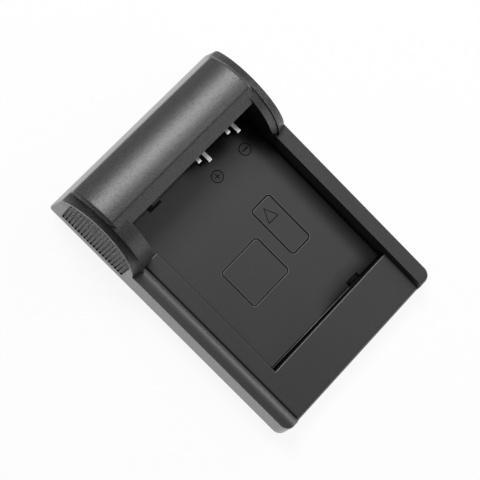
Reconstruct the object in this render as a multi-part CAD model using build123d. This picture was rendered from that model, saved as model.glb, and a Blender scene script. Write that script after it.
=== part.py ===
from build123d import *
import math
import os

# Plate: X across, Y along with the head at +Y, Z up, origin on the underside's centre
length = 84.0
width = 58.9
draft = 6.5
front_corner = 2.7
rear_corner = 0.8
wall = 1.4

# Side rails and battery bay
rail_height = 7.55
left_rail_width = 5.65
right_rail_width = 4.8
rail_round = 3.0
right_wall_lean = 1.45
bay_floor = 3.4
foot_floor = 5.6
foot_length = 13.55
front_edge_round = 1.0
ledge_width = 4.5

# Head: side lips with cheeks in front, and the round roll between them with its flat brow and front
head_centre_from_rear = 13.6
head_centre_height = 3.7
lip_reach = 1.3
lip_width = 4.05
lip_rise = 0.4
lip_fall = 20.0
left_cheek_width = 4.45
right_cheek_width = 2.25
cheek_from_rear = 27.4
cheek_round = 1.8
roll_proud = 1.1
roll_end_round = 1.0
roll_rear_round = 1.5
brow_from_rear = 13.9
brow_drop = 2.2
brow_round = 1.2
face_from_rear = 17.4

# Ridged grips on the outside of both lips
grip_from_rear = 3.6
grip_length = 21.6
grip_bottom = 2.4
grip_border = 0.6
grip_pitch = 1.08
grip_groove = 0.5
grip_depth = 0.3

# Slot and latch notch at the step up to the foot
slot_width_left = 1.3
slot_width_right = 0.6
slot_depth = 0.9
notch_x = 13.5
notch_width = 4.15
notch_length = 1.35

# Outlined fields moulded on the bay floor
field_line = 0.4
field_depth = 0.25
field_corner = 1.2
arrow_field_x = 10.05
arrow_field_from_rear = 45.25
arrow_field_width = 7.2
arrow_field_length = 16.2
name_field_x = -3.9
name_field_from_rear = 49.1
name_field_width = 13.9
name_field_length = 12.7

# Battery contacts
contact_x = {"positive_contact": 6.7, "negative_contact": 17.7}
strip_thickness = 0.4
strip_bend = 0.5
tine_width = 1.1
tine_spacing = 2.3
long_tine_from_rear = 20.8
short_tine_from_rear = 19.2
tine_height = 6.2
tine_drop = 1.6
tail_length = 3.4
window_width = 4.8
window_height = 3.6
blind_window_x = -10.5
blind_window_width = 4.5
blind_window_height = 1.3
blind_window_depth = 0.8

# Bottom cover, its screws and its slots for the hooks of the charger base
cover_thickness = 1.5
cover_gap = 0.15
screw_from_side = 8.45
rear_screw_from_rear = 7.0
front_screw_from_front = 6.2
screw_shank_r = 0.9
screw_head_r = 1.8
screw_head_height = 1.0
screw_sink = 0.2
screw_length = 4.0
screw_gap = 0.06
screw_recess_length = 1.9
screw_recess_width = 0.45
screw_recess_depth = 0.5
boss_r = 2.4
hook_slot_length = 9.0
hook_slot_width = 2.4
hook_slot_x = 19.0
hook_slots_from_rear = (30.0, 58.0)

# Circuit board, input pads and coding resistor
board_thickness = 1.0
board_left = -5.0
board_side_gap = 1.5
board_rear = 3.2
board_front = 14.6
board_gap = 0.2
pad_x = {"positive_pad": 0.5, "coding_pad": 7.5, "negative_pad": 14.5}
pad_from_rear = 9.5
pad_length = 4.8
pad_width = 3.0
pad_gap = 0.2
pad_sink = 0.3
pad_flange = 0.6
pad_flange_thickness = 0.8
resistor_size = (2.0, 1.2, 0.6)
resistor_x = 1.5
resistor_from_rear = 6.2

# Room left round the part for cutting shapes
cut_room = 3.0

# Places worked out from the sizes above
rear = length / 2
front = -length / 2
side = width / 2
lean = math.tan(math.radians(draft))
head_y = rear - head_centre_from_rear
lip_radius = head_centre_from_rear + lip_reach
roll_radius = lip_radius + roll_proud
roll_side = side - lip_width
lip_slope = math.tan(math.radians(lip_fall))
lip_top = head_centre_height + lip_radius
lip_edge_radius = lip_radius + lip_rise - lip_slope * (lip_width - lip_top * lean)
lip_foot_y = head_y - math.sqrt(lip_radius**2 - (rail_height - head_centre_height) ** 2)
hollow_side = side - wall - lip_top * lean
left_inside = -side + left_rail_width
right_inside = side - right_rail_width
bay_left = left_cheek_width - roll_side
bay_right = roll_side - right_cheek_width
cheek_y = rear - cheek_from_rear
face_y = rear - face_from_rear
brow_y = rear - brow_from_rear
brow_height = head_centre_height + math.sqrt(roll_radius**2 - (brow_y - head_y) ** 2)
face_height = brow_height - brow_drop
foot_y = front + foot_length
screw_x = side - screw_from_side
board_right = hollow_side - board_side_gap
board_bottom = cover_thickness + pad_flange_thickness
board_top = board_bottom + board_thickness
above = head_centre_height + roll_radius + cut_room
below = -cut_room


def along_x(curves, x_low, x_high):
    """Extrude a closed outline, drawn in Y and Z, from one X to another."""
    face = Plane.YZ.offset(x_low) * make_face(curves)
    return extrude(face, amount=x_high - x_low, dir=(1, 0, 0))


def block(x_low, x_high, y_low, y_high, z_low, z_high):
    """Straight block between two corners."""
    size = (x_high - x_low, y_high - y_low, z_high - z_low)
    return Pos(x_low, y_low, z_low) * Box(*size, align=(Align.MIN, Align.MIN, Align.MIN))


def plan(inset):
    """Outline of the plate seen from above, drawn in by an inset."""
    outline = Rectangle(width - 2 * inset, length - 2 * inset)
    corners = outline.vertices().sort_by(Axis.Y)
    outline = fillet(corners[:2], radius=max(front_corner - inset, rear_corner / 2))
    corners = outline.vertices().sort_by(Axis.Y)
    return fillet(corners[-2:], radius=max(rear_corner - inset, rear_corner / 2))


def arc_z(radius, y):
    """Height of an arc about the head's centre line at a place along the plate."""
    return head_centre_height + math.sqrt(radius**2 - (y - head_y) ** 2)


def head_cylinder(radius):
    """Cylinder about the head's centre line, across the whole plate."""
    return Pos(0, head_y, head_centre_height) * Rot(0, 90, 0) * Cylinder(radius, width)


def drafted():
    """Block of the plate whose four walls lean inwards, with rounded upright corners."""
    inset = above * lean
    across = Polyline((-side, 0), (side, 0), (side - inset, above), (-side + inset, above), close=True)
    along = Polyline((front, 0), (rear, 0), (rear - inset, above), (front + inset, above), close=True)
    body = extrude(Plane.XZ.offset(-rear) * make_face(across), amount=length, dir=(0, -1, 0))
    body &= along_x(along, -side, side)
    for end, radius in ((front + inset / 2, front_corner), (rear - inset / 2, rear_corner)):
        for x in (inset / 2 - side, side - inset / 2):
            corner = body.edges().sort_by_distance((x, end, above / 2))[0]
            body = fillet(corner, radius=radius)
    return body


def cheek_outline():
    """Side view of the cheeks: one arc from the rear wall to the rail."""
    start = (rear, arc_z(lip_radius, rear))
    foot = (lip_foot_y, rail_height)
    arc = ThreePointArc(start, (head_y, lip_top), foot)
    rest = Polyline(foot, (lip_foot_y, below), (rear, below), start)
    return [arc, rest]


def rear_edge():
    """Where the roll's arc meets the leaning rear wall, as Y and Z."""
    half = head_centre_from_rear * lean + head_centre_height
    square = 1 + lean**2
    rest = head_centre_from_rear**2 + head_centre_height**2 - roll_radius**2
    z = (half + math.sqrt(half**2 - square * rest)) / square
    return (rear - z * lean, z)


def roll_section():
    """Side view of the roll: rear wall, rounded edge, arc, flat brow and upright front face."""
    start = rear_edge()
    crest_y = (start[0] + brow_y) / 2
    arc = ThreePointArc(start, (crest_y, arc_z(roll_radius, crest_y)), (brow_y, brow_height))
    rest = Polyline((brow_y, brow_height), (face_y, face_height), (face_y, 0), (rear, 0), start)
    section = make_face([arc, rest])
    for corner, radius in ((start, roll_rear_round), ((brow_y, brow_height), brow_round)):
        section = fillet(section.vertices().sort_by_distance(corner)[0], radius=radius)
    return section


def bay_section():
    """Cross-section of the bay: rounded left rail, straight right wall that leans out."""
    turn = rail_height - rail_round
    shoulder = left_inside - rail_round
    left = RadiusArc((left_inside, turn), (shoulder, rail_height), -rail_round)
    rest = Polyline((shoulder, rail_height), (shoulder, above), (right_inside, above),
                    (right_inside, rail_height), (right_inside - right_wall_lean, bay_floor),
                    (left_inside, bay_floor), (left_inside, turn))
    return [left, rest]


def step_outline(height, back_y):
    """Side view of the foot or a rail: flat on top, with a rounded front edge."""
    low_z = height - front_edge_round
    low = (front + low_z * lean, low_z)
    high = (low[0] + front_edge_round, height)
    edge = RadiusArc(low, high, front_edge_round)
    rest = Polyline(high, (back_y, height), (back_y, below), (front - wall, below), (front - wall, low_z), low)
    return [edge, rest]


def bay_cut():
    """The bay between the rails, shallower over the foot and over the ledge at the left."""
    section = make_face(bay_section())
    cut = extrude(Plane.XZ.offset(-head_y) * section, amount=head_y - front + wall, dir=(0, -1, 0))
    foot = along_x(step_outline(foot_floor, foot_y), -side, side)
    ledge = block(-side, left_inside + ledge_width, foot_y, cheek_y, below, foot_floor)
    return cut - foot - ledge


def roll():
    """The round roll of the head with softened ends."""
    body = extrude(Plane.YZ.offset(-roll_side) * roll_section(), amount=2 * roll_side, dir=(1, 0, 0))
    ends = body.edges().filter_by(GeomType.CIRCLE)
    return fillet(ends, radius=roll_end_round)


def cheek(x_low, x_high, inner):
    """One cheek beside its lip, its inner front corner rounded in plan."""
    outline = Pos((x_low + x_high) / 2, (cheek_y + rear) / 2) * Rectangle(x_high - x_low, rear - cheek_y)
    corner = outline.vertices().sort_by_distance((inner, cheek_y))[0]
    outline = fillet(corner, radius=cheek_round)
    return extrude(outline, amount=above) & along_x(cheek_outline(), x_low, x_high)


def lip(hand):
    """One lip, at the left for -1 and the right for 1: its round top falls away outwards."""
    inner = lip_radius + lip_rise
    ring = Rot(0, 90 * hand, 0) * Cone(inner, inner - lip_slope * lip_width, lip_width)
    ring = Pos(hand * (roll_side + lip_width / 2), head_y, head_centre_height) * ring
    return ring & block(-side, side, front, rear, head_centre_height, above)


def head():
    """Roll, lips and cheeks."""
    sides = lip(-1) + lip(1)
    sides += cheek(-roll_side, bay_left, bay_left) + cheek(bay_right, roll_side, bay_right)
    return roll() + (sides & drafted())


def grips():
    """Upright grooves of the grips, cut square to the leaning side walls."""
    panel = head_cylinder(lip_edge_radius - grip_border)
    panel &= block(-side, side, rear - grip_from_rear - grip_length, rear - grip_from_rear, grip_bottom, above)
    count = int(grip_length / grip_pitch)
    grooves = Part()
    for number in range(count):
        y = rear - grip_from_rear - grip_pitch * (number + 0.5)
        for hand in (-1, 1):
            groove = Box(2 * grip_depth, grip_groove, 2 * above)
            grooves += Pos(hand * side, y, 0) * Rot(0, -hand * draft, 0) * groove
    return grooves & panel


def outer_form():
    """The housing from outside, still solid."""
    rails = drafted() & along_x(step_outline(rail_height, rear), -side, side)
    return rails - bay_cut() + head() - grips()


def head_cavity():
    """Hollow of the head and of its cheeks, one wall inside them."""
    slope = brow_drop / (brow_y - face_y)
    roof = face_height - wall * math.sqrt(1 + slope**2)
    inner_y = face_y + wall
    back = rear - 2 * wall
    outline = Polyline((inner_y, below), (inner_y, roof + slope * wall),
                       (inner_y + (above - roof) / slope - wall, above), (back, above), (back, below), close=True)
    middle = along_x(outline, -hollow_side, hollow_side)
    left = block(-hollow_side, bay_left - wall, cheek_y + wall, back, below, above)
    right = block(bay_right + wall, hollow_side, cheek_y + wall, back, below, above)
    return (middle + left + right) & head_cylinder(lip_radius - wall)


def cavity():
    """Hollow under the floor, the foot, the rails and the head, open below."""
    under_floor = extrude(plan(wall), amount=bay_floor - wall)
    under_foot = block(left_inside + wall, right_inside - wall, front + 2 * wall, foot_y - wall, below,
                       foot_floor - wall)
    core_side = side - wall - rail_height * lean
    core_front = front + front_corner + wall
    core_rear = lip_foot_y - wall
    left_core = block(-core_side, left_inside - wall, core_front, core_rear, below, rail_height - wall)
    right_core = block(right_inside + wall, core_side, core_front, core_rear, below, rail_height - wall)
    return under_floor + under_foot + left_core + right_core + head_cavity()


def screw_places():
    """Centres of the four cover screws."""
    rows = (rear - rear_screw_from_rear, front + front_screw_from_front)
    return [(x, y) for y in rows for x in (-screw_x, screw_x)]


def bosses(form):
    """Screw columns from the cover up into the housing's own walls."""
    columns = [Pos(x, y, cover_thickness) * Cylinder(boss_r, above, align=(Align.CENTER, Align.CENTER, Align.MIN))
               for x, y in screw_places()]
    inside = form & columns
    pilots = [Pos(x, y, 0) * Cylinder(screw_shank_r + screw_gap, screw_sink + screw_length + screw_gap,
                                      align=(Align.CENTER, Align.CENTER, Align.MIN))
              for x, y in screw_places()]
    return inside, pilots


def windows():
    """Openings at the base of the head's front face: two for contacts and a blind one."""
    cuts = [block(x - window_width / 2, x + window_width / 2, face_y, face_y + 2 * wall, bay_floor,
                  bay_floor + window_height) for x in contact_x.values()]
    blind = block(blind_window_x - blind_window_width / 2, blind_window_x + blind_window_width / 2,
                  face_y, face_y + blind_window_depth, bay_floor, bay_floor + blind_window_height)
    return cuts + [blind]


def foot_slot():
    """Tapered slot along the step of the foot, with the latch notch on its bay side."""
    left = left_inside + ledge_width
    right = right_inside - right_wall_lean
    outline = Polyline((left, foot_y), (right, foot_y), (right, foot_y + slot_width_right),
                       (left, foot_y + slot_width_left), close=True)
    slot = extrude(Pos(0, 0, bay_floor - slot_depth) * make_face(outline), amount=slot_depth)
    notch_y = foot_y + slot_width_right
    notch = block(notch_x - notch_width / 2, notch_x + notch_width / 2, notch_y, notch_y + notch_length,
                  bay_floor - wall, bay_floor)
    return [slot, notch]


def field(x, from_rear, across, along):
    """Groove round an outlined field on the bay floor."""
    outer = RectangleRounded(across, along, field_corner)
    inner = RectangleRounded(across - 2 * field_line, along - 2 * field_line, field_corner - field_line)
    ring = Pos(x, rear - from_rear, bay_floor - field_depth) * (outer - inner)
    return extrude(ring, amount=field_depth)


def fields():
    """Grooves of the arrow field and the name field."""
    arrow = field(arrow_field_x, arrow_field_from_rear, arrow_field_width, arrow_field_length)
    name = field(name_field_x, name_field_from_rear, name_field_width, name_field_length)
    return [arrow, name]


def upper_housing():
    """The moulded housing: bay, rails, foot and hollow head."""
    form = outer_form()
    columns, pilots = bosses(form)
    shell = form - cavity() + columns
    return shell - pilots - windows() - foot_slot() - fields()


def bottom_cover():
    """Flat cover inside the housing's skirt."""
    cover = extrude(plan(wall + cover_gap), amount=cover_thickness)
    for x, y in screw_places():
        cover -= Pos(x, y, 0) * screw_form(screw_gap)
        cover -= Pos(x, y, 0) * Cylinder(screw_head_r + screw_gap, 2 * screw_sink)
    for from_rear in hook_slots_from_rear:
        for x in (-hook_slot_x, hook_slot_x):
            cover -= Pos(x, rear - from_rear, 0) * Box(hook_slot_width, hook_slot_length, 4 * cover_thickness)
    for x in pad_x.values():
        cover -= Pos(x, rear - pad_from_rear, 0) * Box(pad_width + 2 * pad_gap, pad_length + 2 * pad_gap,
                                                       4 * cover_thickness)
    return cover


def screw_form(gap):
    """Countersunk screw standing head down on the Z axis, larger all round by a gap."""
    shank = screw_shank_r + gap
    head = screw_head_r + gap
    outline = Polyline((0, screw_sink), (head, screw_sink), (shank, screw_sink + screw_head_height),
                       (shank, screw_sink + screw_length), (0, screw_sink + screw_length), close=True)
    return revolve(Plane.XZ * make_face(outline), axis=Axis.Z)


def cover_screw():
    """One countersunk screw with its cross recess."""
    screw = screw_form(0)
    for turn in (0, 90):
        arm = Box(screw_recess_length, screw_recess_width, 2 * screw_recess_depth)
        screw -= Pos(0, 0, screw_sink) * Rot(0, 0, turn) * arm
    return screw


def strip(points, x, across):
    """Bent strip that follows a path in Y and Z."""
    path = FilletPolyline(*points, radius=strip_bend)
    section = Plane.YZ.offset(x - across / 2) * trace(path, line_width=strip_thickness)
    return extrude(section, amount=across, dir=(1, 0, 0))


def tine(x, reach_from_rear):
    """One tine: from the board up, out of the window and down at its nose."""
    level = board_top + strip_thickness / 2
    rise_y = rear - board_front + strip_bend
    out_y = face_y + wall / 2
    nose_y = rear - reach_from_rear + strip_thickness / 2
    points = [(rise_y + tail_length, level), (rise_y, level), (out_y + wall, tine_height - strip_bend),
              (nose_y, tine_height), (nose_y + strip_bend, tine_height - tine_drop)]
    return strip(points, x, tine_width)


def battery_contact(x):
    """Spring contact: a tail on the board and two tines of unequal reach."""
    rise_y = rear - board_front + strip_bend
    tail = block(x - (tine_spacing + tine_width) / 2, x + (tine_spacing + tine_width) / 2, rise_y + strip_bend,
                 rise_y + tail_length, board_top, board_top + strip_thickness)
    return tail + tine(x + tine_spacing / 2, long_tine_from_rear) + tine(x - tine_spacing / 2, short_tine_from_rear)


def circuit_board():
    """Board that lies on the pads, with a hole round the screw column it shares the head with."""
    board = block(board_left, board_right, rear - board_front, rear - board_rear, board_bottom, board_top)
    for x, y in screw_places():
        board -= Pos(x, y, board_bottom) * Cylinder(boss_r + board_gap, 4 * board_thickness)
    return board


def input_pad(x):
    """Pad whose face shows in a window of the cover and whose flange carries the board."""
    y = rear - pad_from_rear
    foot = block(x - pad_width / 2, x + pad_width / 2, y - pad_length / 2, y + pad_length / 2, pad_sink,
                 cover_thickness)
    reach_x = pad_width / 2 + pad_gap + pad_flange
    reach_y = pad_length / 2 + pad_gap + pad_flange
    flange = block(x - reach_x, x + reach_x, y - reach_y, y + reach_y, cover_thickness, board_bottom)
    return foot + flange


def coding_resistor():
    """Chip on top of the board."""
    across, along, high = resistor_size
    y = rear - resistor_from_rear
    return block(resistor_x - across / 2, resistor_x + across / 2, y - along / 2, y + along / 2, board_top,
                 board_top + high)


nodes = {
    "upper_housing": upper_housing(),
    "bottom_cover": bottom_cover(),
    "circuit_board": circuit_board(),
    "coding_resistor": coding_resistor(),
    "cover_screws": Compound([Pos(x, y, 0) * cover_screw() for x, y in screw_places()]),
}
nodes.update({name: battery_contact(x) for name, x in contact_x.items()})
nodes.update({name: input_pad(x) for name, x in pad_x.items()})

os.makedirs("parts", exist_ok=True)
for name, solid in nodes.items():
    export_step(solid, f"parts/{name}.step")
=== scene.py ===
import logging
import math
from dataclasses import dataclass
from enum import Enum
from typing import Any, Callable, Dict, NamedTuple, Optional, Sequence, Tuple, Union

import bmesh
import bpy
from mathutils import Matrix, Vector


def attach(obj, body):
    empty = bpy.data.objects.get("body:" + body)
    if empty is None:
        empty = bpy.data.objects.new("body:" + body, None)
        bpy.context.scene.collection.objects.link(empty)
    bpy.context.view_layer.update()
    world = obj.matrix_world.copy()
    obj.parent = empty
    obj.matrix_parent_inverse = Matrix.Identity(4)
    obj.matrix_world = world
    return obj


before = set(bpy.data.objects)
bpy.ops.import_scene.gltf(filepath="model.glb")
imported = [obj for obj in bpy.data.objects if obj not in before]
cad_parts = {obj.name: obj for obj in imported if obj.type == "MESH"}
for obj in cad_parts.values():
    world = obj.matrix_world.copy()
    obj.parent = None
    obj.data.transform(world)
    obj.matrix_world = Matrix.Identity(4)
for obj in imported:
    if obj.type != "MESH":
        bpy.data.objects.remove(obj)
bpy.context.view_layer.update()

MM = 0.001
LOG = logging.getLogger("charger_plate")

Colour = Tuple[float, float, float]
Point = Tuple[float, float, float]
Spot = Tuple[float, float]
Socket = bpy.types.NodeSocket


class Body(Enum):
    """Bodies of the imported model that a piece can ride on."""

    PLATE = "root"


class Slot(Enum):
    """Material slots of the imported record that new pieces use."""

    HOUSING = "housing_plastic"


class Mark(Enum):
    """Fine pieces of the battery bay, by name."""

    # Every piece but the slot's rib paints shade; the rib paints a highlight.
    PLUS = "plus_sign"
    MINUS = "minus_sign"
    ARROW = "arrow_head"
    FLOOR_SLOT_SHADE = "floor_slots"
    CREVICE = "rail_crevice"
    SLOT_FLOOR_SHADE = "slot_floor"
    NOTCH_FLOOR_SHADE = "notch_floor"
    SLOT_RIB = "slot_rib"


class Texture(Enum):
    """Kinds of noise, as the number of finer layers and their share."""

    GRAIN = (2.0, 0.6)
    FINE = (1.0, 0.5)
    CLOUD = (3.0, 0.55)
    SAND = (1.0, 0.7)
    STAIN = (2.0, 0.5)
    WEAVE = (1.0, 0.4)


class Value:
    """A number that changes over a surface: one output socket, with Python's operators as Math nodes."""

    def __init__(self, shader: "Shader", socket: Socket) -> None:
        """Wrap an output socket of a node tree."""
        self.shader = shader
        self.socket = socket

    def math(self, operation: str, *inputs: Union["Value", float], clamp: bool = False) -> "Value":
        """Add one Math node.

        Args:
            operation: Blender's name of the operation.
            inputs: Its inputs, in order.
            clamp: Keep the result between 0 and 1.

        Returns:
            The node's result.
        """
        settings = {"operation": operation, "use_clamp": clamp}
        node = self.shader.node("ShaderNodeMath", settings, dict(enumerate(inputs)))
        return Value(self.shader, node.outputs[0])

    def __add__(self, other: Union["Value", float]) -> "Value":
        """Sum."""
        return self.math("ADD", self, other)

    __radd__ = __add__

    def __sub__(self, other: Union["Value", float]) -> "Value":
        """Difference."""
        return self.math("SUBTRACT", self, other)

    def __rsub__(self, other: float) -> "Value":
        """Difference from a plain number."""
        return self.math("SUBTRACT", other, self)

    def __mul__(self, other: Union["Value", float]) -> "Value":
        """Product."""
        return self.math("MULTIPLY", self, other)

    __rmul__ = __mul__

    def __truediv__(self, other: Union["Value", float]) -> "Value":
        """Quotient."""
        return self.math("DIVIDE", self, other)

    def __rtruediv__(self, other: float) -> "Value":
        """Quotient of a plain number."""
        return self.math("DIVIDE", other, self)

    def __pow__(self, power: Union["Value", float]) -> "Value":
        """Power."""
        return self.math("POWER", self, power)

    def __rpow__(self, base: float) -> "Value":
        """Power of a plain number."""
        return self.math("POWER", base, self)

    def absolute(self) -> "Value":
        """The same value with no sign."""
        return self.math("ABSOLUTE", self)

    def clamped(self) -> "Value":
        """The same value kept between 0 and 1."""
        return self.math("ADD", self, 0.0, clamp=True)

    def centred(self) -> "Value":
        """Noise from 0 to 1, moved to lie about 0."""
        return self - 0.5


Level = Union[Value, float]


class Edge(NamedTuple):
    """What a shader knows of a piece's edges.

    The mask is 1 on edges and 0 on open faces, soft is the rounded normal, and wide is the way that an edge
    faces.
    """

    mask: Value
    soft: Socket
    wide: Socket


class Shader:
    """The node tree of a material or of the world."""

    BEVEL_SAMPLES = 6
    SOFT_SHARE = 0.4
    EDGE_GAIN = 6.0
    CREVICE_SAMPLES = 8

    def __init__(self, owner: Union[bpy.types.Material, bpy.types.World], output: str) -> None:
        """Start an empty tree.

        Args:
            owner: The material or world that the tree belongs to.
            output: Node type of its output.
        """
        owner.use_nodes = True
        self.owner = owner
        self.tree = owner.node_tree
        self.tree.nodes.clear()
        self.output = self.node(output)

    @classmethod
    def of_material(cls, name: str) -> "Shader":
        """Start a new material."""
        return cls(bpy.data.materials.new(name), "ShaderNodeOutputMaterial")

    @classmethod
    def of_world(cls, name: str) -> "Shader":
        """Start a new world."""
        return cls(bpy.data.worlds.new(name), "ShaderNodeOutputWorld")

    def node(self, kind: str, settings: Optional[Dict[str, Any]] = None,
             inputs: Optional[Dict[Union[str, int], Any]] = None) -> bpy.types.Node:
        """Add a node of any kind.

        Args:
            kind: Blender's node type.
            settings: Properties that are set first.
            inputs: Values or links of its sockets, by name or number.

        Returns:
            The node.
        """
        made = self.tree.nodes.new(kind)
        for name, value in (settings or {}).items():
            setattr(made, name, value)
        for name, value in (inputs or {}).items():
            self.feed(made.inputs[name], value)
        return made

    def feed(self, socket: Socket, value: Union[Value, Socket, float, Sequence[float]]) -> None:
        """Set or link one input socket.

        Args:
            socket: The input.
            value: A plain value, a wrapped one or an output socket.
        """
        if isinstance(value, Value):
            self.tree.links.new(value.socket, socket)
        elif isinstance(value, Socket):
            self.tree.links.new(value, socket)
        elif socket.type == "RGBA":
            socket.default_value = (*value, 1.0)
        else:
            socket.default_value = value

    def coords(self) -> Socket:
        """Places on the part, in metres."""
        return self.node("ShaderNodeTexCoord").outputs["Object"]

    def split(self, vector: Socket) -> Tuple[Value, Value, Value]:
        """The X, Y and Z of a vector."""
        outputs = self.node("ShaderNodeSeparateXYZ", inputs={0: vector}).outputs
        return Value(self, outputs[0]), Value(self, outputs[1]), Value(self, outputs[2])

    def noise(self, size: float, texture: Texture, stretch: Point = (1.0, 1.0, 1.0)) -> Value:
        """Smooth noise from 0 to 1.

        Args:
            size: Size of its features in metres.
            texture: The kind of noise.
            stretch: Scale along X, Y and Z.

        Returns:
            The noise.
        """
        detail, rough = texture.value
        place = self.node("ShaderNodeMapping", inputs={"Vector": self.coords(), "Scale": stretch}).outputs[0]
        sockets = {"Vector": place, "Scale": 1.0 / size, "Detail": detail, "Roughness": rough}
        return Value(self, self.node("ShaderNodeTexNoise", inputs=sockets).outputs[0])

    def bevel(self, radius: float) -> Socket:
        """The normal, averaged over an edge of this radius in metres."""
        return self.node("ShaderNodeBevel", {"samples": self.BEVEL_SAMPLES}, {"Radius": radius}).outputs[0]

    def edge(self, radius: float) -> Edge:
        """Find edges.

        Args:
            radius: How far an edge reaches, in metres.

        Returns:
            The edges' mask and normals.
        """
        wide = self.bevel(radius)
        soft = self.bevel(radius * self.SOFT_SHARE)
        plain = self.node("ShaderNodeNewGeometry").outputs["Normal"]
        dot = self.node("ShaderNodeVectorMath", {"operation": "DOT_PRODUCT"}, {0: wide, 1: plain})
        mask = ((1.0 - Value(self, dot.outputs["Value"])) * self.EDGE_GAIN).clamped()
        return Edge(mask, soft, wide)

    def crevice(self, size: float) -> Value:
        """Find corners and grooves.

        Args:
            size: How wide they are, in metres.

        Returns:
            A mask that is 0 on open faces and nears 1 in narrow grooves.
        """
        settings = {"samples": self.CREVICE_SAMPLES, "only_local": True}
        node = self.node("ShaderNodeAmbientOcclusion", settings, {"Distance": size})
        return 1.0 - Value(self, node.outputs["AO"])

    def mix(self, factor: Value, low: Union[Colour, Socket], high: Union[Colour, Socket]) -> Socket:
        """Blend two colours.

        Args:
            factor: 0 for the first colour and 1 for the second.
            low: The first colour.
            high: The second colour.

        Returns:
            The blended colour.
        """
        sockets = {0: factor, 6: low, 7: high}
        return self.node("ShaderNodeMix", {"data_type": "RGBA"}, sockets).outputs[2]

    def bump(self, height: Value, strength: float, depth: float, normal: Socket) -> Socket:
        """Turn a height into a normal.

        Args:
            height: The height, 0 to 1.
            strength: Share of the bump that shows.
            depth: Real height of 1, in metres.
            normal: Normal to start from.

        Returns:
            The bumped normal.
        """
        sockets = {"Strength": strength, "Distance": depth, "Height": height, "Normal": normal}
        return self.node("ShaderNodeBump", inputs=sockets).outputs[0]

    def principled(self, inputs: Dict[str, Any]) -> Socket:
        """A Principled shader with these sockets."""
        return self.node("ShaderNodeBsdfPrincipled", inputs=inputs).outputs[0]

    def finish(self, surface: Socket) -> Union[bpy.types.Material, bpy.types.World]:
        """Link a shader to the output and hand over the material or world."""
        self.feed(self.output.inputs["Surface"], surface)
        return self.owner


class Local(NamedTuple):
    """What a place on a moulding changes in its plain finish.

    Each one is a number, or a value that changes over the surface:
        open_air: Share of the crevices' shade that is taken away.
        stain_and_painted_shade: Painted shade added to that of the crevices.
        crevice_dark: How dark the painted shade makes the plastic.
        grit: Darkness of a coarse texture.
        grain_share: Share of the fine grain's height.
        relief: Height of a coarse texture.
        roughness: Roughness added by a coarse texture.
        dull: Gloss taken away.
        rubbed: How far the pale edges reach, which are partly rubbing and partly painted highlight.
        left_rubbing_and_highlight: Pale edges, partly painted highlight, on edges that face left.
        front_rubbing_and_highlight: Pale edges, partly painted highlight, on edges that face the front.
    """

    open_air: Level = 0.0
    stain_and_painted_shade: Level = 0.0
    crevice_dark: Level = 2.0
    grit: Level = 0.0
    grain_share: Level = 1.0
    relief: Level = 0.0
    roughness: Level = 0.0
    dull: Level = 0.0
    rubbed: Level = 1.0
    left_rubbing_and_highlight: Level = 1.0
    front_rubbing_and_highlight: Level = 0.6


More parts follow.
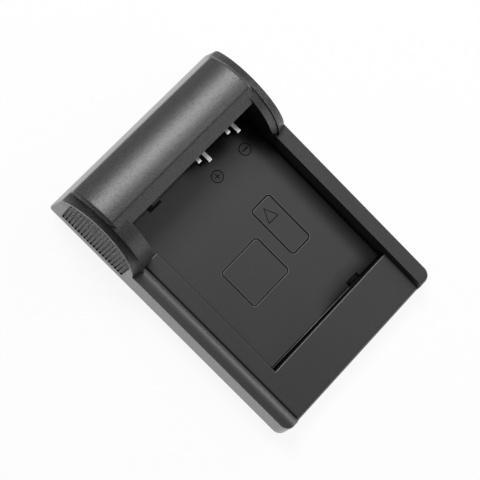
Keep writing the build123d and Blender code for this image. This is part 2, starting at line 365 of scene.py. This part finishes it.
@dataclass(frozen=True)
class MouldedPlastic:
    """Plastic from a spark-eroded mould, with pale edges that are partly rubbing and partly painted
    highlight, and painted shade in its crevices. Sizes are in metres.
    """

    name: str
    colour: Colour
    rub: Colour
    roughness: float
    specular: float
    grain: float
    grain_depth: float
    grain_strength: float
    edge_radius: float
    coat: float = 0.0
    coat_roughness: float = 0.38
    # Pale edge colour: partly rubbing, partly painted highlight.
    wear: Colour = (0.45, 0.45, 0.455)
    # Near-black colour that paints the shade in crevices.
    shade_colour: Colour = (0.003, 0.003, 0.003)
    crevice_size: float = 1.2 * MM
    crevice_roughness: float = 0.3
    crevice_clean: float = 2.0
    fine_scale: float = 0.45
    fine_share: float = 0.4
    grain_tone: float = 0.35
    grain_roughness: float = 0.3
    patch_size: float = 14.0 * MM
    patch_tone: float = 0.3
    patch_roughness: float = 0.08
    rub_share: float = 0.1
    # The numbers below shape the pale edges, partly rubbing and partly painted highlight.
    wear_least: float = 0.45
    wear_patch: float = 0.5
    wear_anywhere: float = 0.1
    wear_polish: float = 0.08
    facing_gain: float = 3.0

    def local(self, shader: Shader, coarse: Value) -> Local:
        """What each place changes: nothing on a plain moulding."""
        return Local()

    def wear_and_highlight(self, shader: Shader, edge: Edge, patch: Value, shade: Value, local: Local) -> Value:
        """Where edges turn pale, partly from rubbing and partly as a painted highlight.

        Args:
            shader: The material's node tree.
            edge: The piece's edges.
            patch: Broad noise that breaks up the pale edges.
            shade: The crevices, which stay unworn.
            local: What each place changes.

        Returns:
            A mask that is 1 on pale edges.
        """
        right, rear, _ = shader.split(edge.wide)
        facing_left = (right * -self.facing_gain).clamped() * local.left_rubbing_and_highlight
        facing_rear = (rear * self.facing_gain).clamped()
        facing_front = (rear * -self.facing_gain).clamped() * local.front_rubbing_and_highlight
        # Edges that face left, rear and front turn pale as a painted highlight; other edges keep a small
        # share.
        facing = facing_left + facing_rear + facing_front
        reach = self.wear_anywhere + facing * (1.0 - self.wear_anywhere)
        broken = self.wear_least + patch * self.wear_patch
        return (edge.mask * local.rubbed * broken * reach - shade * self.crevice_clean).clamped()

    def material(self) -> bpy.types.Material:
        """Make the material.

        Returns:
            The material, with a coat only where the finish has one.
        """
        shader = Shader.of_material(self.name)
        edge = shader.edge(self.edge_radius)
        coarse = shader.noise(self.grain, Texture.GRAIN)
        fine = shader.noise(self.grain * self.fine_scale, Texture.FINE)
        patch = shader.noise(self.patch_size, Texture.CLOUD)
        local = self.local(shader, coarse)
        # Painted shade: crevices found by occlusion, plus the painted shade that a place adds.
        shade = shader.crevice(self.crevice_size) * (1.0 - local.open_air) + local.stain_and_painted_shade
        wear_and_highlight = self.wear_and_highlight(shader, edge, patch, shade, local)
        tone = patch.centred() * self.patch_tone + coarse.centred() * self.grain_tone + self.rub_share
        skin = shader.mix(wear_and_highlight, shader.mix(tone.clamped(), self.colour, self.rub), self.wear)
        # The painted shade and the grips' grit texture darken the plastic towards the near-black colour.
        dark = (shade * local.crevice_dark + local.grit).clamped()
        grain = coarse * (1.0 - self.fine_share) + fine * self.fine_share
        height = grain * local.grain_share + local.relief
        unevenness = patch.centred() * self.patch_roughness + coarse.centred() * self.grain_roughness
        roughness = self.roughness + unevenness - wear_and_highlight * self.wear_polish + local.roughness
        inputs = {
            "Base Color": shader.mix(dark, skin, self.shade_colour),
            "Roughness": (roughness + shade * self.crevice_roughness).clamped(),
            "Normal": shader.bump(height, self.grain_strength, self.grain_depth, edge.soft),
            "Specular IOR Level": self.specular,
        }
        if self.coat:
            inputs["Coat Weight"] = (self.coat * (1.0 - shade * local.crevice_dark - local.dull)).clamped()
            inputs["Coat Roughness"] = self.coat_roughness
        return shader.finish(shader.principled(inputs))


@dataclass(frozen=True)
class HousingPlastic(MouldedPlastic):
    """The housing's plastic, with coarse finger grips, a sparkling head and painted shade in two corners."""

    grip_side: float = 27.0 * MM
    grip_middle: float = 27.6 * MM
    grip_half: float = 10.8 * MM
    grip_bottom: float = 2.4 * MM
    grip_radius: float = 14.2 * MM
    grip_crevice: float = 1.7
    grip_grit: float = 0.5
    grip_relief: float = 2.0
    grip_roughness: float = 0.35
    grip_dull: float = 0.6
    sand_size: float = 0.32 * MM
    head_y: float = 28.4 * MM
    head_z: float = 3.7 * MM
    head_from: float = 7.0 * MM
    head_to: float = 10.0 * MM
    head_open: float = 0.75
    head_sparkle: float = 2.2
    low_grain: float = 0.12
    lip_from: float = 25.4 * MM
    lip_dull: float = 0.7
    right_end_from: float = 20.0 * MM
    rail_top: float = 7.8 * MM
    # The valley and corner numbers set painted shade beside the left lip and beside the right rail.
    valley_width: float = 2.0 * MM
    valley_start: float = 0.1 * MM
    valley_dark: float = 0.6
    valley_fade: float = 6.0 * MM
    corner_size: float = 6.0 * MM
    corner_dark: float = 3.2
    corner_fade: float = 10.0 * MM
    corner_top: float = 5.2 * MM
    corner_soft: float = 1.4 * MM
    bay_floor: float = 3.5 * MM
    # Fewer pale edges, partly painted highlight, on the bay's floor.
    bay_rub: float = 0.4
    fade: float = 0.15 * MM

    def grips(self, x: Value, y: Value, z: Value) -> Value:
        """Where the finger grips are.

        Args:
            x: Places across the plate.
            y: Places along it.
            z: Heights.

        Returns:
            A mask that is 1 on the grips of the head's two ends.
        """
        reach = ((y - self.head_y) ** 2.0 + (z - self.head_z) ** 2.0) ** 0.5
        inside = ((self.grip_radius - reach) / self.fade).clamped()
        outer = ((x.absolute() - self.grip_side) / self.fade).clamped()
        above = ((z - self.grip_bottom) / self.fade).clamped()
        along = ((self.grip_half - (y - self.grip_middle).absolute()) / self.fade).clamped()
        return inside * outer * above * along

    def valley(self, x: Value, z: Value) -> Value:
        """Painted shade in the valley between the roll and the left lip.

        Args:
            x: Places across the plate.
            z: Heights.

        Returns:
            Painted shade that starts at the roll's end and fades outwards and downwards.
        """
        out = -self.lip_from - x
        begun = (out / self.valley_start).clamped()
        left = (1.0 - out / self.valley_width).clamped()
        upper = ((z - self.head_to) / self.valley_fade).clamped()
        return begun * left * upper * self.valley_dark

    def corner(self, shader: Shader, x: Value, z: Value) -> Value:
        """Painted shade in the broad corner between the bay's floor and the right rail.

        Args:
            shader: The material's node tree.
            x: Places across the plate.
            z: Heights.

        Returns:
            Shade that is 0 on the left half and rises towards the right rail.
        """
        low = ((self.corner_top - z) / self.corner_soft).clamped()
        across = (x / self.corner_fade).clamped()
        return shader.crevice(self.corner_size) * across * low * self.corner_dark

    def local(self, shader: Shader, coarse: Value) -> Local:
        """What each place of the housing changes.

        Args:
            shader: The material's node tree.
            coarse: The plastic's grain.

        Returns:
            The changes on the grips, the head, its two ends and the bay's floor.
        """
        plain = super().local(shader, coarse)
        x, y, z = shader.split(shader.coords())
        grip = self.grips(x, y, z)
        head = ((z - self.head_from) / (self.head_to - self.head_from)).clamped()
        above_rail = ((z - self.rail_top) / self.fade).clamped()
        right_end = ((x - self.right_end_from) / self.fade).clamped()
        right_lip = ((x - self.lip_from) / self.fade).clamped() * above_rail
        above_bay = ((z - self.bay_floor) / self.fade).clamped()
        sand = grip * shader.noise(self.sand_size, Texture.SAND)
        sparkle = head * coarse.centred() * self.head_sparkle
        return Local(
            open_air=(head * self.head_open + right_end * above_rail).clamped(),
            # Painted shade beside the right rail and in the valley beside the left lip.
            stain_and_painted_shade=self.corner(shader, x, z) + self.valley(x, z) * (1.0 - grip),
            crevice_dark=plain.crevice_dark - grip * self.grip_crevice,
            grit=sand * self.grip_grit,
            grain_share=self.low_grain + head * (1.0 - self.low_grain),
            relief=sand * self.grip_relief,
            roughness=grip * self.grip_roughness,
            dull=grip * self.grip_dull + right_lip * self.lip_dull - sparkle,
            # Pale edges, partly painted highlight: fewer on the bay's floor, none facing left at the right
            # end, none facing the front on the head.
            rubbed=self.bay_rub + above_bay * (1.0 - self.bay_rub),
            left_rubbing_and_highlight=1.0 - right_end,
            front_rubbing_and_highlight=(1.0 - head) * plain.front_rubbing_and_highlight,
        )


@dataclass(frozen=True)
class PlatedMetal:
    """Plated strip or turned metal with fine rolling lines. Sizes are in metres."""

    name: str
    colour: Colour
    stain_and_painted_shade: Colour
    roughness: float
    line_size: float
    line_stretch: Point
    edge_radius: float
    line_depth: float = 0.02 * MM
    line_strength: float = 0.15
    line_roughness: float = 0.12
    patch_size: float = 2.5 * MM
    patch_stain: float = 0.6
    patch_roughness: float = 0.08
    edge_clean: float = 0.4

    def material(self) -> bpy.types.Material:
        """Make the material.

        Returns:
            The material.
        """
        shader = Shader.of_material(self.name)
        edge = shader.edge(self.edge_radius)
        lines = shader.noise(self.line_size, Texture.GRAIN, self.line_stretch)
        patch = shader.noise(self.patch_size, Texture.STAIN)
        stained = (patch * self.patch_stain - edge.mask * self.edge_clean).clamped()
        unevenness = lines.centred() * self.line_roughness + patch.centred() * self.patch_roughness
        return shader.finish(shader.principled({
            "Base Color": shader.mix(stained, self.colour, self.stain_and_painted_shade),
            "Roughness": (self.roughness + unevenness).clamped(),
            "Normal": shader.bump(lines, self.line_strength, self.line_depth, edge.soft),
            "Metallic": 1.0,
        }))


@dataclass(frozen=True)
class BoardMask:
    """Solder mask over glass weave. Sizes are in metres."""

    name: str
    colour: Colour
    weave: Colour
    edge_radius: float = 0.04 * MM
    thread: float = 0.5 * MM
    thread_stretch: float = 0.12
    relief: float = 0.02 * MM
    relief_strength: float = 0.2
    roughness: float = 0.3
    weave_roughness: float = 0.15

    def material(self) -> bpy.types.Material:
        """Make the material.

        Returns:
            The material.
        """
        shader = Shader.of_material(self.name)
        warp = shader.noise(self.thread, Texture.WEAVE, (1.0, self.thread_stretch, 1.0))
        weft = shader.noise(self.thread, Texture.WEAVE, (self.thread_stretch, 1.0, 1.0))
        cloth = (warp + weft) * 0.5
        soft = shader.bevel(self.edge_radius)
        return shader.finish(shader.principled({
            "Base Color": shader.mix(cloth, self.colour, self.weave),
            "Roughness": (self.roughness + cloth * self.weave_roughness).clamped(),
            "Normal": shader.bump(cloth, self.relief_strength, self.relief, soft),
        }))


HOUSING_PLASTIC = HousingPlastic(
    "charcoal_abs", colour=(0.017, 0.017, 0.0183), rub=(0.036, 0.036, 0.0374), roughness=0.37, specular=0.25,
    grain=0.5 * MM, grain_depth=0.3 * MM, grain_strength=1.0, edge_radius=0.42 * MM, coat=1.0)
# Near-black plastic for thin pieces that paint the shade of engraved signs, floor slots, a crevice, a slot
# and a notch.
SHADE_PLASTIC = MouldedPlastic(
    "painted_shade_line", colour=(0.005, 0.005, 0.005), rub=(0.012, 0.012, 0.012), roughness=0.7, specular=0.15,
    grain=0.2 * MM, grain_depth=0.02 * MM, grain_strength=0.4, edge_radius=0.05 * MM)
# Lighter plastic that paints a highlight along the slot's rib.
HIGHLIGHT_RIB_PLASTIC = MouldedPlastic(
    "highlight_rib", colour=(0.11, 0.11, 0.112), rub=(0.18, 0.18, 0.183), roughness=0.45, specular=0.4,
    grain=0.3 * MM, grain_depth=0.03 * MM, grain_strength=0.4, edge_radius=0.05 * MM)
COVER_PLASTIC = MouldedPlastic(
    "cover_abs", colour=(0.032, 0.032, 0.034), rub=(0.07, 0.07, 0.072), roughness=0.56, specular=0.4,
    grain=0.3 * MM, grain_depth=0.04 * MM, grain_strength=0.4, edge_radius=0.2 * MM)
CHIP_BODY = MouldedPlastic(
    "chip_body", colour=(0.02, 0.02, 0.021), rub=(0.3, 0.3, 0.29), roughness=0.45, specular=0.5,
    grain=0.1 * MM, grain_depth=0.01 * MM, grain_strength=0.2, edge_radius=0.12 * MM)
NICKEL = PlatedMetal(
    "bright_nickel", colour=(0.86, 0.85, 0.82), stain_and_painted_shade=(0.7, 0.68, 0.63), roughness=0.2,
    line_size=0.12 * MM, line_stretch=(1.0, 0.08, 0.08), edge_radius=0.06 * MM)
ZINC = PlatedMetal(
    "zinc_plate", colour=(0.5, 0.5, 0.51), stain_and_painted_shade=(0.38, 0.38, 0.38), roughness=0.35,
    line_size=0.15 * MM, line_stretch=(1.0, 1.0, 1.0), edge_radius=0.06 * MM)
GOLD_FLASH = PlatedMetal(
    "gold_flash", colour=(0.83, 0.62, 0.3), stain_and_painted_shade=(0.62, 0.43, 0.19), roughness=0.26,
    line_size=0.15 * MM, line_stretch=(1.0, 0.1, 1.0), edge_radius=0.08 * MM)
GREEN_MASK = BoardMask("green_mask", colour=(0.012, 0.09, 0.03), weave=(0.025, 0.15, 0.055))


def dress_node(node: str, material: bpy.types.Material) -> None:
    """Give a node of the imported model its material.

    Args:
        node: The node's name.
        material: The material.
    """
    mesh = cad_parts[node].data
    mesh.materials.clear()
    mesh.materials.append(material)
    LOG.info("dressed %s in %s", node, material.name)


def add_piece(name: str, shape: bmesh.types.BMesh, material: bpy.types.Material) -> None:
    """Turn a mesh in millimetres into a piece that rides on the plate.

    Args:
        name: The piece's name.
        shape: Its mesh, in millimetres in the part's frame.
        material: Its material.
    """
    bmesh.ops.recalc_face_normals(shape, faces=shape.faces)
    mesh = bpy.data.meshes.new(name)
    shape.transform(Matrix.Scale(MM, 4))
    shape.to_mesh(mesh)
    shape.free()
    mesh.polygons.foreach_set("use_smooth", [True] * len(mesh.polygons))
    mesh.materials.append(material)
    piece = bpy.data.objects.new(name, mesh)
    bpy.context.scene.collection.objects.link(piece)
    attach(piece, Body.PLATE.value)
    LOG.info("built %s with %d faces", name, len(mesh.polygons))


@dataclass
class Plate:
    """The moulded plate: housing and cover."""

    housing: str = "upper_housing"
    cover: str = "bottom_cover"

    def dress(self) -> None:
        """Give both mouldings their plastic."""
        dress_node(self.housing, HOUSING_PLASTIC.material())
        dress_node(self.cover, COVER_PLASTIC.material())


@dataclass
class BayMarks:
    """Dark strokes and slabs that paint the shade of the battery bay's signs, slots, crevice and notch, and a
    lighter rib that paints a highlight. Sizes are in millimetres.
    """

    floor: float = 3.4
    lift: float = 0.03
    bevel_share: float = 0.25
    seat: float = 0.01
    stroke: float = 0.26
    ring_radius: float = 1.62
    ring_steps: int = 56
    sign_length: float = 1.9
    minus_weight: float = 1.3
    plus_at: Spot = (6.93, 17.31)
    minus_at: Spot = (17.47, 17.22)
    arrow_tip: Spot = (9.69, 2.8)
    arrow_left: Spot = (7.95, -0.9)
    arrow_right: Spot = (11.37, -1.0)
    head_face: float = 24.6
    windows: Tuple[Tuple[float, float, float, float], ...] = (
        (-12.7, -10.9, 0.0, 0.95), (-12.6, -8.4, 0.95, 1.7), (5.3, 8.3, 0.0, 2.4), (16.2, 18.7, 0.0, 2.0))
    crevice_x: float = -23.75
    crevice_front: float = -40.5
    crevice_rear: float = 14.4
    crevice_width: float = 0.5
    ledge_top: float = 5.6
    slot_left: float = -19.25
    slot_right: float = 23.1
    slot_front: float = -28.45
    slot_width_left: float = 1.3
    slot_width_right: float = 0.6
    slot_bottom: float = 2.5
    slot_thick: float = 0.25
    rib_left: float = -19.2
    rib_right: float = 11.4
    rib_from_left: Spot = (0.64, 1.0)
    rib_from_right: Spot = (0.36, 0.58)
    rib_bottom: float = 2.74
    rib_thick: float = 0.5
    notch_middle: float = 13.5
    notch_half: float = 2.02
    notch_front: float = -27.8
    notch_rear: float = -26.55
    notch_bottom: float = 2.0
    notch_thick: float = 0.9

    def build(self) -> None:
        """Build every mark as one thin piece."""
        # Near-black plastic that paints shade.
        shade_material = SHADE_PLASTIC.material()
        self.add(Mark.PLUS, shade_material, self.plus_sign)
        self.add(Mark.MINUS, shade_material, self.minus_sign)
        self.add(Mark.ARROW, shade_material, self.arrow)
        self.add(Mark.FLOOR_SLOT_SHADE, shade_material, self.floor_slots)
        self.add(Mark.CREVICE, shade_material, self.rail_crevice)
        self.add(Mark.SLOT_FLOOR_SHADE, shade_material, self.slot_floor)
        self.add(Mark.NOTCH_FLOOR_SHADE, shade_material, self.notch_floor)
        self.add(Mark.SLOT_RIB, HIGHLIGHT_RIB_PLASTIC.material(), self.slot_rib)

    def add(self, mark: Mark, finish: bpy.types.Material, draw: Callable[[bmesh.types.BMesh], None]) -> None:
        """Draw one mark and add it as a piece.

        Args:
            mark: The mark.
            finish: Its material.
            draw: Method that draws it.
        """
        shape = bmesh.new()
        draw(shape)
        add_piece(mark.value, shape, finish)

    @staticmethod
    def raised(shape: bmesh.types.BMesh, low: Sequence[Point], high: Sequence[Point]) -> None:
        """Join two rings of four points by side faces and close the upper one.

        Args:
            shape: Mesh to draw in.
            low: The lower ring.
            high: The upper ring.
        """
        lower = [shape.verts.new(point) for point in low]
        upper = [shape.verts.new(point) for point in high]
        for index in range(len(lower)):
            after = (index + 1) % len(lower)
            shape.faces.new((lower[index], lower[after], upper[after], upper[index]))
        shape.faces.new(upper)

    def line(self, shape: bmesh.types.BMesh, start: Spot, end: Spot, width: float, level: float) -> None:
        """Draw a straight stroke with bevelled sides.

        Args:
            shape: Mesh to draw in.
            start: First end, in X and Y.
            end: Last end.
            width: Width where it lies on the face.
            level: Height of that face.
        """
        first, last = Vector(start), Vector(end)
        along = (last - first).normalized()
        across = Vector((-along.y, along.x))
        rings = []
        for inset, height in ((0.0, level), (self.bevel_share * width, level + self.lift)):
            half = across * (width / 2 - inset)
            back, front = first + along * inset, last - along * inset
            rings.append([(*spot, height) for spot in (back - half, front - half, front + half, back + half)])
        self.raised(shape, *rings)

    def slab(self, shape: bmesh.types.BMesh, corners: Sequence[Spot], bottom: float, thick: float) -> None:
        """Draw a flat slab that lies on the bottom of a recess.

        Args:
            shape: Mesh to draw in.
            corners: Its four corners in X and Y.
            bottom: Height of the recess's bottom.
            thick: Height of the slab's top over that bottom.
        """
        low = [(x, y, bottom + self.seat) for x, y in corners]
        high = [(x, y, bottom + thick) for x, y in corners]
        self.raised(shape, low, high)

    def ring(self, shape: bmesh.types.BMesh, centre: Spot) -> None:
        """Draw a ring with bevelled sides.

        Args:
            shape: Mesh to draw in.
            centre: Its centre, in X and Y.
        """
        x, y = centre
        half = self.stroke / 2
        section = ((half, 0.0), (half / 2, self.lift), (-half / 2, self.lift), (-half, 0.0))
        loops = []
        for step in range(self.ring_steps):
            angle = 2 * math.pi * step / self.ring_steps
            cosine, sine = math.cos(angle), math.sin(angle)
            loop = []
            for out, height in section:
                radius = self.ring_radius + out
                loop.append(shape.verts.new((x + radius * cosine, y + radius * sine, self.floor + height)))
            loops.append(loop)
        for step, here in enumerate(loops):
            after = loops[(step + 1) % self.ring_steps]
            for low in range(len(section) - 1):
                shape.faces.new((here[low], after[low], after[low + 1], here[low + 1]))

    def plus_sign(self, shape: bmesh.types.BMesh) -> None:
        """Draw the ringed plus in dark strokes that paint the shade of engraved grooves: one whole stroke and
        two halves that meet it.

        Args:
            shape: Mesh to draw in.
        """
        x, y = self.plus_at
        reach, half = self.sign_length / 2, self.stroke / 2
        self.ring(shape, self.plus_at)
        self.line(shape, (x, y - reach), (x, y + reach), self.stroke, self.floor)
        self.line(shape, (x - reach, y), (x - half, y), self.stroke, self.floor)
        self.line(shape, (x + half, y), (x + reach, y), self.stroke, self.floor)

    def minus_sign(self, shape: bmesh.types.BMesh) -> None:
        """Draw the ringed minus in dark strokes that paint the shade of engraved grooves.

        Args:
            shape: Mesh to draw in.
        """
        x, y = self.minus_at
        reach = self.sign_length / 2
        self.ring(shape, self.minus_at)
        self.line(shape, (x - reach, y), (x + reach, y), self.stroke * self.minus_weight, self.floor)

    def arrow(self, shape: bmesh.types.BMesh) -> None:
        """Draw the arrow's head, which points towards the contacts, in dark strokes that paint the shade of
        engraved grooves.

        Args:
            shape: Mesh to draw in.
        """
        self.line(shape, self.arrow_left, self.arrow_tip, self.stroke, self.floor)
        self.line(shape, self.arrow_right, self.arrow_tip, self.stroke, self.floor)
        self.line(shape, self.arrow_left, self.arrow_right, self.stroke, self.floor)

    def floor_slots(self, shape: bmesh.types.BMesh) -> None:
        """Draw dark strokes that paint the shade of the slots that the head's windows leave in the floor.

        Args:
            shape: Mesh to draw in.
        """
        for left, right, start, reach in self.windows:
            middle = self.head_face - (start + reach) / 2
            self.line(shape, (left, middle), (right, middle), reach - start, self.floor)

    def rail_crevice(self, shape: bmesh.types.BMesh) -> None:
        """Draw a dark strip that paints the shade in the sharp crevice at the foot of the left rail's round.
        """
        ends = (self.crevice_x, self.crevice_front), (self.crevice_x, self.crevice_rear)
        self.line(shape, *ends, self.crevice_width, self.ledge_top)

    def slot_floor(self, shape: bmesh.types.BMesh) -> None:
        """Draw a dark slab that paints the shade on the floor of the tapered slot along the foot's step.

        Args:
            shape: Mesh to draw in.
        """
        left, right, front = self.slot_left, self.slot_right, self.slot_front
        corners = ((left, front), (right, front),
                   (right, front + self.slot_width_right), (left, front + self.slot_width_left))
        self.slab(shape, corners, self.slot_bottom, self.slot_thick)

    def slot_rib(self, shape: bmesh.types.BMesh) -> None:
        """Draw the narrow rib inside the tapered slot, near its rear wall, in a lighter plastic that paints a
        highlight.

        Args:
            shape: Mesh to draw in.
        """
        left_front, left_rear = (self.slot_front + gap for gap in self.rib_from_left)
        right_front, right_rear = (self.slot_front + gap for gap in self.rib_from_right)
        corners = ((self.rib_left, left_front), (self.rib_right, right_front),
                   (self.rib_right, right_rear), (self.rib_left, left_rear))
        self.slab(shape, corners, self.rib_bottom, self.rib_thick)

    def notch_floor(self, shape: bmesh.types.BMesh) -> None:
        """Draw a dark slab that paints the shade on the floor of the latch notch.

        Args:
            shape: Mesh to draw in.
        """
        left, right = self.notch_middle - self.notch_half, self.notch_middle + self.notch_half
        corners = ((left, self.notch_front), (right, self.notch_front),
                   (right, self.notch_rear), (left, self.notch_rear))
        self.slab(shape, corners, self.notch_bottom, self.notch_thick)


@dataclass
class Electrics:
    """Contacts, board, pads and screws."""

    contacts: Tuple[str, ...] = ("positive_contact", "negative_contact")
    pads: Tuple[str, ...] = ("positive_pad", "coding_pad", "negative_pad")
    screws: str = "cover_screws"
    board: str = "circuit_board"
    resistor: str = "coding_resistor"

    def dress(self) -> None:
        """Give the metal and the board their finishes."""
        nickel = NICKEL.material()
        gold = GOLD_FLASH.material()
        for name in self.contacts:
            dress_node(name, nickel)
        for name in self.pads:
            dress_node(name, gold)
        dress_node(self.screws, ZINC.material())
        dress_node(self.board, GREEN_MASK.material())
        dress_node(self.resistor, CHIP_BODY.material())


@dataclass(frozen=True)
class Softbox:
    """A square soft light that faces the plate.

    Its direction is from the plate to the light, its distance and size are in metres, and its radiance is how
    bright its face is, where white paper in the room is about 1.
    """

    name: str
    towards: Point
    distance: float
    size: float
    radiance: float

    def build(self) -> None:
        """Add the light."""
        lamp = bpy.data.lights.new(self.name, "AREA")
        lamp.shape = "SQUARE"
        lamp.size = self.size
        lamp.energy = self.radiance * math.pi * self.size ** 2
        holder = bpy.data.objects.new(self.name, lamp)
        direction = Vector(self.towards).normalized()
        holder.location = direction * self.distance
        holder.rotation_mode = "QUATERNION"
        holder.rotation_quaternion = direction.to_track_quat("Z", "Y")
        bpy.context.scene.collection.objects.link(holder)


@dataclass
class Studio:
    """White table, soft lights and the camera.

    Angles are in degrees, lengths in metres, and the lens and its sensor in millimetres.
    """

    tilt_across: float = 14.498
    tilt_along: float = -4.884
    roll: float = 44.713
    lens: float = 98.744
    sensor: float = 36.0
    distance: float = 0.345246
    aim: Point = (0.0000989, 0.0012834, 0.0)
    table_size: float = 3.0
    table_steps: int = 8
    table_drop: float = 0.02 * MM
    table_colours: Tuple[Colour, Colour] = ((0.86, 0.86, 0.86), (0.9, 0.9, 0.9))
    table_cloud: float = 0.4
    table_roughness: float = 0.8
    table_glow: float = 0.9
    white: Colour = (1.0, 1.0, 1.0)
    world_light: float = 0.08
    lights: Tuple[Softbox, ...] = (
        Softbox("key_softbox", towards=(0.25, 0.58, 0.77), distance=0.8, size=0.34, radiance=15.0),
        Softbox("main_softbox", towards=(0.5, -0.1, 0.86), distance=0.8, size=0.70, radiance=0.66),
        Softbox("side_panel", towards=(0.88, -0.2, 0.40), distance=0.8, size=0.5, radiance=2.9),
        Softbox("front_panel", towards=(0.25, -0.93, 0.25), distance=0.9, size=0.6, radiance=1.6),
    )

    def build(self) -> None:
        """Set up the whole studio."""
        bpy.context.scene.view_settings.view_transform = "Standard"
        self.add_table()
        self.add_world()
        for light in self.lights:
            light.build()
        self.add_camera()
        LOG.info("set up the studio with %d lights", len(self.lights))

    def table_material(self) -> bpy.types.Material:
        """Make the table's paint, which looks white to the camera and in reflections.

        Returns:
            The material.
        """
        shader = Shader.of_material("white_table")
        path = shader.node("ShaderNodeLightPath").outputs
        straight = Value(shader, path["Is Camera Ray"]) * self.table_glow
        mirrored = Value(shader, path["Is Glossy Ray"]) + Value(shader, path["Is Transmission Ray"])
        cloud = shader.noise(self.table_cloud, Texture.STAIN)
        colour = shader.mix(cloud, *self.table_colours)
        paint = shader.principled({"Base Color": colour, "Roughness": self.table_roughness})
        glow = shader.node("ShaderNodeEmission", inputs={"Color": self.white, "Strength": 1.0}).outputs[0]
        seen = (straight + mirrored).clamped()
        mixed = shader.node("ShaderNodeMixShader", inputs={0: seen, 1: paint, 2: glow})
        return shader.finish(mixed.outputs[0])

    def add_table(self) -> None:
        """Add the pale table that takes the shadow."""
        shape = bmesh.new()
        steps = self.table_steps
        bmesh.ops.create_grid(shape, x_segments=steps, y_segments=steps, size=self.table_size / 2)
        mesh = bpy.data.meshes.new("table")
        shape.to_mesh(mesh)
        shape.free()
        mesh.materials.append(self.table_material())
        table = bpy.data.objects.new("table", mesh)
        table.location.z = -self.table_drop
        bpy.context.scene.collection.objects.link(table)

    def add_world(self) -> None:
        """Add the even light of the room, white where the camera sees it."""
        shader = Shader.of_world("room")
        seen = Value(shader, shader.node("ShaderNodeLightPath").outputs["Is Camera Ray"])
        strength = seen * (1.0 - self.world_light) + self.world_light
        back = shader.node("ShaderNodeBackground", inputs={"Color": self.white, "Strength": strength})
        bpy.context.scene.world = shader.finish(back.outputs[0])

    def add_camera(self) -> None:
        """Add the camera at the photograph's place, turned about its own axis as the photograph is."""
        slope = (math.tan(math.radians(self.tilt_across)), math.tan(math.radians(self.tilt_along)), -1.0)
        look = Vector(slope).normalized()
        right = look.cross(Vector((0, 1, 0))).normalized()
        up = right.cross(look)
        turn = math.radians(self.roll)
        axis_x = right * math.cos(turn) - up * math.sin(turn)
        axis_y = right * math.sin(turn) + up * math.cos(turn)
        place = Vector(self.aim) - look * self.distance
        camera = bpy.data.cameras.new("camera")
        camera.lens = self.lens
        camera.sensor_width = self.sensor
        holder = bpy.data.objects.new("camera", camera)
        columns = Matrix((axis_x, axis_y, -look)).transposed().to_4x4()
        holder.matrix_world = Matrix.Translation(place) @ columns
        bpy.context.scene.collection.objects.link(holder)
        bpy.context.scene.camera = holder


def main() -> None:
    """Dress the plate, build its small pieces and set up the studio."""
    logging.basicConfig(level=logging.INFO)
    Plate().dress()
    BayMarks().build()
    Electrics().dress()
    Studio().build()


if __name__ == "__main__":
    main()
